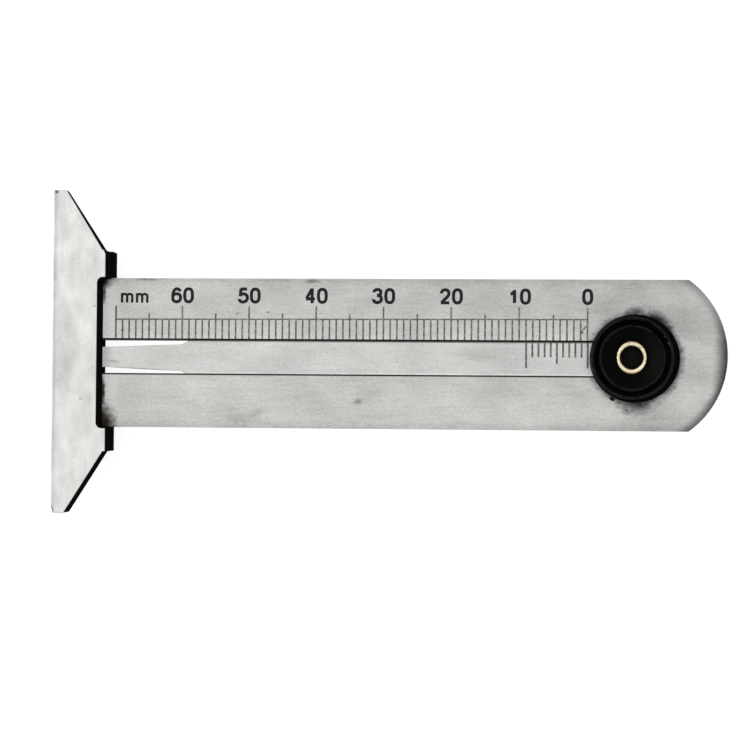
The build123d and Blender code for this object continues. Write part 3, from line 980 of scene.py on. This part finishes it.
@dataclass
class Foot:
    """The foot: the bright bridge, the black cheek behind it, and what holds them together."""

    screw_head: float = 1.9
    screw_shank: float = 1.0
    screw_slot: float = 0.5
    screw_slot_depth: float = 0.35
    screw_break: float = 0.05
    sides: int = 64

    def build(self) -> None:
        """Dresses the two halves and the dowels, and turns the screws."""
        dress("foot_bridge", GroundFoot())
        dress("foot_rear_cheek", BlackOxide())
        low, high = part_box("foot_screws")
        x = (low.x + high.x) / 2 / MM
        axes = ((x, high.y / MM - self.screw_head), (x, low.y / MM + self.screw_head))
        dowel_low, dowel_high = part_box("foot_dowels")
        dowel_x = (dowel_low.x + dowel_high.x) / 2 / MM
        radius = (dowel_high.x - dowel_low.x) / 2 / MM
        dowels = ((dowel_x, dowel_high.y / MM - radius), (dowel_x, dowel_low.y / MM + radius))
        dress("foot_dowels", CutSteel("dowel_steel", (0.50, 0.49, 0.47), Lay.ROUND, dowels))
        steel = CutSteel("screw_steel", (0.46, 0.45, 0.43), Lay.ROUND, axes).material()
        for name, axis in zip(("foot_screw_upper", "foot_screw_lower"), axes):
            self.turn_screw(name, axis, steel)

    def turn_screw(self, name: str, axis: tuple[float, float], steel: bpy.types.Material) -> None:
        """Turns one countersunk screw and cuts its slot.

        Args:
            name: The piece's name.
            axis: The screw's x and y.
            steel: The finish.
        """
        back, front = heights_of("foot_screws")
        cone = back + self.screw_head - self.screw_shank
        bench = Bench(name)
        bench.turn(axis, (Ring(self.screw_head, back), Ring(self.screw_shank, cone),
                          Ring(self.screw_shank, front)), self.sides, open_bore=False)
        x, y = axis
        reach, half = self.screw_head + 0.5, self.screw_slot / 2
        bench.cut(Vector((x - reach, y - half, back - 0.5)),
                  Vector((x + reach, y + half, back + self.screw_slot_depth)))
        bench.break_edges(self.screw_break)
        bench.done(steel, "frame", "foot_screws")


@dataclass
class Blade:
    """The sliding blade with its vernier."""

    def build(self) -> None:
        """Dresses the blade and its marks."""
        stains = (
            Stain(8.4, -0.75, 1.5, 0.35, 0.20, -8.0, 0.1, 1.0),
            Stain(30.3, -1.0, 1.15, 0.07, 0.15, 52.0, 0.3, 0.5),
            Stain(62.6, 0.45, 4.6, 1.7, 0.14, 0.0, 0.1, 0.9),
            Stain(50.6, -0.6, 0.35, 0.25, 0.15, 0.0, 0.1, 0.9),
            # These three are thin dark lines along the probe's tapered edges: painted shade of those edges.
            Stain(12.6, -1.82, 6.2, 0.12, 0.50, -2.8, 0.2, 0.3),
            Stain(18.9, -2.30, 0.60, 0.10, 0.45, -26.6, 0.2, 0.3),
            Stain(12.6, 1.58, 6.2, 0.08, 0.15, 2.1, 0.2, 0.3),
        )
        dress("depth_blade", SatinSteel(
            "blade_steel", (0.585, 0.580, 0.567), stains, streak=0.24, blotch=0.38, grain=0.36,
            foot_side=FOOT_SIDE, foot_painted_light=0.30, bevel_edge=2.45))
        dress("vernier_ticks",
              EngravingPaint("vernier_paint", (0.105, 0.105, 0.098), (0.28, 0.28, 0.27)))


@dataclass
class ThumbKnob:
    """The dished thumb knob and the tube rivet through it, in millimetres.

    As in the photo, the knob and the rivet's rolled lip stand a little off the rivet's axis, and
    the knob's skirt lies off the knob's own middle and is a little flat.
    """

    knob_height: float = 3.3
    outer_radius: float = 6.02
    knob_right: float = -0.04
    knob_up: float = 0.13
    skirt_radius: float = 6.56
    skirt_right: float = 0.44
    skirt_squash: float = 0.982
    skirt_height: float = 0.7
    base_gap: float = 0.06
    rim_radius: float = 5.74
    groove_radius: float = 5.22
    groove_depth: float = 0.75
    dish_crest_radius: float = 4.65
    dish_crest_drop: float = 0.15
    dish_lip: float = 0.25
    dish_floor_radius: float = 2.7
    dish_floor_height: float = 1.5
    boss_radius: float = 2.4
    bore_radius: float = 1.95
    top_round: float = 0.3
    shoulder_round: float = 0.22
    crest_round: float = 0.12
    skirt_round: float = 0.08
    tube_outer: float = 1.9
    tube_inner: float = 1.5
    tube_floor: float = 0.3
    tail_chamfer: float = 0.2
    roll_steps: int = 12
    tenon_radius: float = 1.3
    lip_right: float = -0.11
    lip_up: float = 0.24
    lip_stretch: float = 1.11
    lip_inner: float = 1.74
    lip_squeeze: float = 1.04
    sides: int = 160

    def build(self) -> None:
        """Turns the knob and the rivet."""
        axis = axis_of("rivet_washer")
        self.turn_knob((axis[0] + self.knob_right, axis[1] + self.knob_up))
        self.turn_rivet(axis)

    def turn_knob(self, axis: tuple[float, float]) -> None:
        """Turns the knob, with its skirt a little out of centre.

        Args:
            axis: The knob's own x and y, a little off the rivet's.
        """
        front, _ = heights_of("thumb_knob")
        _, beam_front = heights_of("beam_plate")
        base = beam_front + self.base_gap
        top = base + self.knob_height
        floor = base + self.dish_floor_height
        crest = top - self.dish_crest_drop
        skirt = Ring(self.skirt_radius, base + self.skirt_height, self.skirt_right)
        shoulder = Ring(self.outer_radius, top - self.top_round)
        rim = Ring(self.rim_radius, top)
        groove = Ring(self.groove_radius, top - self.groove_depth)
        dish = Ring(self.dish_crest_radius, crest)
        lip = Ring(self.dish_crest_radius - self.dish_lip, crest - self.crest_round)
        bottom = Ring(self.dish_floor_radius, floor)
        bore = Ring(self.bore_radius, front)
        rings = (bore, Ring(self.boss_radius, front), Ring(self.boss_radius, base),
                 Ring(self.skirt_radius, base, self.skirt_right), skirt,
                 Ring(self.outer_radius, base + self.skirt_height), shoulder, rim, groove, dish,
                 lip, bottom, Ring(self.bore_radius, floor), bore)
        bench = Bench("dished_thumb_knob")
        bench.turn(axis, rings, self.sides, open_bore=True)
        bench.round_rings(axis, ((skirt, self.skirt_round), (shoulder, self.shoulder_round),
                                 (rim, self.crest_round), (groove, self.crest_round),
                                 (dish, self.crest_round), (bottom, self.top_round)))
        with bench.editing():
            bench.select(Part.FACES, lambda place: place.z < skirt.height + NEAR)
            bpy.ops.transform.resize(value=(1.0, self.skirt_squash, 1.0), center_override=(*axis, base))
        plastic = KnobPlastic(axis, (self.rim_radius, self.dish_crest_radius)).material()
        bench.done(plastic, "slider", "thumb_knob")

    def turn_rivet(self, axis: tuple[float, float]) -> None:
        """Turns the tube rivet from its peened tail to its rolled lip and its floor.

        Args:
            axis: The rivet's x and y.
        """
        tail, _ = heights_of("tube_rivet")
        washer, _ = heights_of("rivet_washer")
        _, beam_front = heights_of("beam_plate")
        floor = beam_front + self.base_gap + self.dish_floor_height
        roll = self.tube_outer - self.tube_inner
        tube, lip = (self.knob_right, self.knob_up), (self.lip_right, self.lip_up)
        angles = (math.pi * step / self.roll_steps for step in range(self.roll_steps + 1))
        arc = [Ring(self.tube_outer + roll * math.cos(angle), floor + roll * math.sin(angle), *lip)
               for angle in angles]
        rings = (Ring(self.tube_outer - self.tail_chamfer, tail),
                 Ring(self.tube_outer, tail + self.tail_chamfer),
                 Ring(self.tube_outer, washer), Ring(self.tenon_radius, washer),
                 Ring(self.tenon_radius, beam_front), Ring(self.tube_outer, beam_front, *tube),
                 Ring(self.tube_outer, floor, *tube), *arc,
                 Ring(self.tube_inner, beam_front + self.tube_floor, *tube))
        bench = Bench("rolled_tube_rivet")
        bench.turn(axis, rings, self.sides, open_bore=False)
        middle = (axis[0] + self.lip_right, axis[1] + self.lip_up)
        with bench.editing():
            bench.select(Part.FACES, lambda place: place.z > floor - NEAR and
                         (place.xy - Vector(middle)).length > self.tube_inner - NEAR)
            bpy.ops.transform.resize(value=(1.0, self.lip_stretch, 1.0), center_override=(*middle, floor))
        brass = RolledBrass(middle, self.lip_inner, self.lip_squeeze).material()
        bench.done(brass, "slider", "tube_rivet")


@dataclass
class BackPlates:
    """What holds the blade from behind: keeper, leaf spring and washer."""

    corner: float = 0.8
    washer_radius: float = 2.3
    washer_bore: float = 1.3
    spring_tip: float = 0.7
    spring_bend: float = 0.35
    edge_break: float = 0.05
    sides: int = 96

    def build(self) -> None:
        """Shapes the three pieces."""
        self.shape_keeper()
        self.bend_spring()
        self.turn_washer()

    def shape_keeper(self) -> None:
        """Shapes the keeper plate with its round corners."""
        low, high = (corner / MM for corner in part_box("keeper_plate"))
        bench = Bench("blade_keeper")
        bench.block(low, high)
        with bench.editing():
            bench.select(Part.EDGES, lambda place: True)
            bench.keep_along(Vector((0.0, 0.0, 1.0)))
            bpy.ops.mesh.bevel(offset=self.corner, segments=8, profile=0.5)
        bench.break_edges(self.edge_break)
        steel = CutSteel("keeper_steel", (0.52, 0.51, 0.49), Lay.ALONG).material()
        bench.done(steel, "slider", "keeper_plate")

    def bend_spring(self) -> None:
        """Bends the leaf spring, whose ends reach up to the beam."""
        def at(y: float) -> Callable[[Vector], bool]:
            """Returns the test for corners at one y."""
            return lambda place: abs(place.y - y) < NEAR

        low, high = (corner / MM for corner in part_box("leaf_spring"))
        keeper_low, keeper_high = (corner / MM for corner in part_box("keeper_plate"))
        thick = keeper_low.z - low.z
        bench = Bench("drag_spring")
        bench.block(Vector((low.x, keeper_low.y, low.z)), Vector((high.x, keeper_high.y, keeper_low.z)))
        with bench.editing():
            for side, tip in ((1, high.y), (-1, low.y)):
                end = keeper_high.y if side > 0 else keeper_low.y
                for reach in (tip - side * self.spring_tip, tip):
                    bench.select(Part.FACES, at(end))
                    step = (0.0, reach - end, high.z - thick - bench.lowest(at(end)))
                    bpy.ops.mesh.extrude_region_move(TRANSFORM_OT_translate={"value": step})
                    end = reach
            for bend in (keeper_high.y, keeper_low.y, high.y - self.spring_tip, low.y + self.spring_tip):
                bench.select(Part.EDGES, at(bend))
                bench.keep_along(Vector((1.0, 0.0, 0.0)))
                bpy.ops.mesh.bevel(offset=self.spring_bend, segments=5, profile=0.5)
        bench.break_edges(self.edge_break / 2, angle=50.0)
        steel = CutSteel("spring_steel", (0.44, 0.42, 0.39), Lay.ALONG).material()
        bench.done(steel, "slider", "leaf_spring")

    def turn_washer(self) -> None:
        """Turns the washer."""
        axis = axis_of("rivet_washer")
        back, front = heights_of("rivet_washer")
        outer, bore = self.washer_radius, self.washer_bore
        bench = Bench("tail_washer")
        bench.turn(axis, (Ring(bore, back), Ring(outer, back), Ring(outer, front), Ring(bore, front),
                          Ring(bore, back)), self.sides, open_bore=True)
        bench.break_edges(self.edge_break)
        steel = CutSteel("washer_steel", (0.50, 0.49, 0.47), Lay.ROUND, (axis,)).material()
        bench.done(steel, "slider", "rivet_washer")


# ---- Studio

@dataclass(frozen=True)
class Lamp:
    """A soft square lamp: its place and side in metres, and its power in watts."""

    name: str
    place: tuple[float, float, float]
    size: float
    power: float

    def hang(self) -> None:
        """Hangs the lamp so that it faces the gauge."""
        data = bpy.data.lights.new(self.name, "AREA")
        data.size = self.size
        data.energy = self.power
        lamp = bpy.data.objects.new(self.name, data)
        bpy.context.scene.collection.objects.link(lamp)
        lamp.location = self.place
        lamp.rotation_mode = "QUATERNION"
        lamp.rotation_quaternion = (MIDDLE - Vector(self.place)).to_track_quat("-Z", "Y")


@dataclass
class Studio:
    """The camera, the pale floor and the soft light."""

    lens: float = 97.81
    sensor: float = 36.0
    clip: tuple[float, float] = (0.01, 20.0)
    floor_gap: float = 0.02
    floor_size: float = 4.0
    floor_gray: Color = (0.34, 0.34, 0.34)
    floor_bounce: float = 0.45
    background: float = 0.86
    sky: float = 0.60
    lamps: tuple[Lamp, ...] = (Lamp("main_lamp", (-0.75, 0.45, 0.60), 1.9, 5.0),
                               Lamp("side_lamp", (-0.60, 0.05, 0.13), 0.50, 0.8))

    def build(self) -> None:
        """Sets up everything that isn't the gauge."""
        bpy.context.scene.view_settings.view_transform = "Standard"
        self.place_camera()
        self.lay_floor()
        self.light_world()
        for lamp in self.lamps:
            lamp.hang()
        log.info("studio ready")

    def place_camera(self) -> None:
        """Places the camera where the photograph was taken from."""
        data = bpy.data.cameras.new("camera")
        data.lens = self.lens
        data.sensor_width = self.sensor
        data.clip_start, data.clip_end = self.clip
        camera = bpy.data.objects.new("camera", data)
        bpy.context.scene.collection.objects.link(camera)
        camera.location = CAMERA_PLACE * MM
        camera.rotation_mode = "QUATERNION"
        camera.rotation_quaternion = Quaternion(CAMERA_TURN.normalized(), CAMERA_TURN.length)
        bpy.context.scene.camera = camera

    def lay_floor(self) -> None:
        """Lays the floor just under the gauge.

        Seen by the camera, or in metal and glass, it is white but for the gauge's shadow. From
        below it isn't there.
        """
        bpy.ops.object.select_all(action="DESELECT")
        low, _ = cad_bounds
        place = (MIDDLE.x, MIDDLE.y, low.z - self.floor_gap * MM)
        bpy.ops.mesh.primitive_plane_add(size=self.floor_size, location=place)
        floor = bpy.context.view_layer.objects.active
        floor.name = "floor"
        bpy.ops.object.transform_apply(location=True)
        material = bpy.data.materials.new("pale_floor")
        material.use_nodes = True
        g = Graph(material.node_tree)
        matte = g.node("ShaderNodeBsdfDiffuse", None, {"Color": self.floor_gray})
        glow = g.node("ShaderNodeEmission", None, {"Color": WHITE, "Strength": self.background})
        bounce = g.node("ShaderNodeEmission", None, {"Color": WHITE, "Strength": self.floor_bounce})
        seen = g.node("ShaderNodeMixShader", None, {0: self.seen(g), 1: bounce, 2: glow})
        top = g.node("ShaderNodeAddShader", None, {0: matte, 1: seen})
        clear = g.node("ShaderNodeBsdfTransparent")
        under = g.node("ShaderNodeNewGeometry", output="Backfacing")
        shader = g.node("ShaderNodeMixShader", None, {0: under, 1: top, 2: clear})
        g.node("ShaderNodeOutputMaterial", None, {"Surface": shader})
        floor.data.materials.append(material)

    @staticmethod
    def seen(g: Graph) -> Value:
        """Returns 1 for what the camera sees directly, in metal or through glass."""
        path = g.node("ShaderNodeLightPath", output="Is Camera Ray")
        outputs = path.socket.node.outputs
        mirror, through = Value(g, outputs["Is Glossy Ray"]), Value(g, outputs["Is Transmission Ray"])
        return path.most(mirror).most(through)

    def light_world(self) -> None:
        """Fills the room with even light."""
        world = bpy.data.worlds.new("room")
        bpy.context.scene.world = world
        world.use_nodes = True
        g = Graph(world.node_tree)
        room = g.node("ShaderNodeBackground", None, {"Color": WHITE, "Strength": self.sky})
        white = g.node("ShaderNodeBackground", None, {"Color": WHITE, "Strength": 1.0})
        both = g.node("ShaderNodeMixShader", None, {0: self.seen(g), 1: room, 2: white})
        g.node("ShaderNodeOutputWorld", None, {"Surface": both})


def main() -> None:
    """Builds the studio and the gauge."""
    logging.basicConfig(level=logging.INFO, format="%(name)s: %(message)s")
    Studio().build()
    for assembly in (Rule(), Foot(), Blade(), ThumbKnob(), BackPlates()):
        assembly.build()
        log.info("%s done", type(assembly).__name__)


if __name__ == "__main__":
    main()
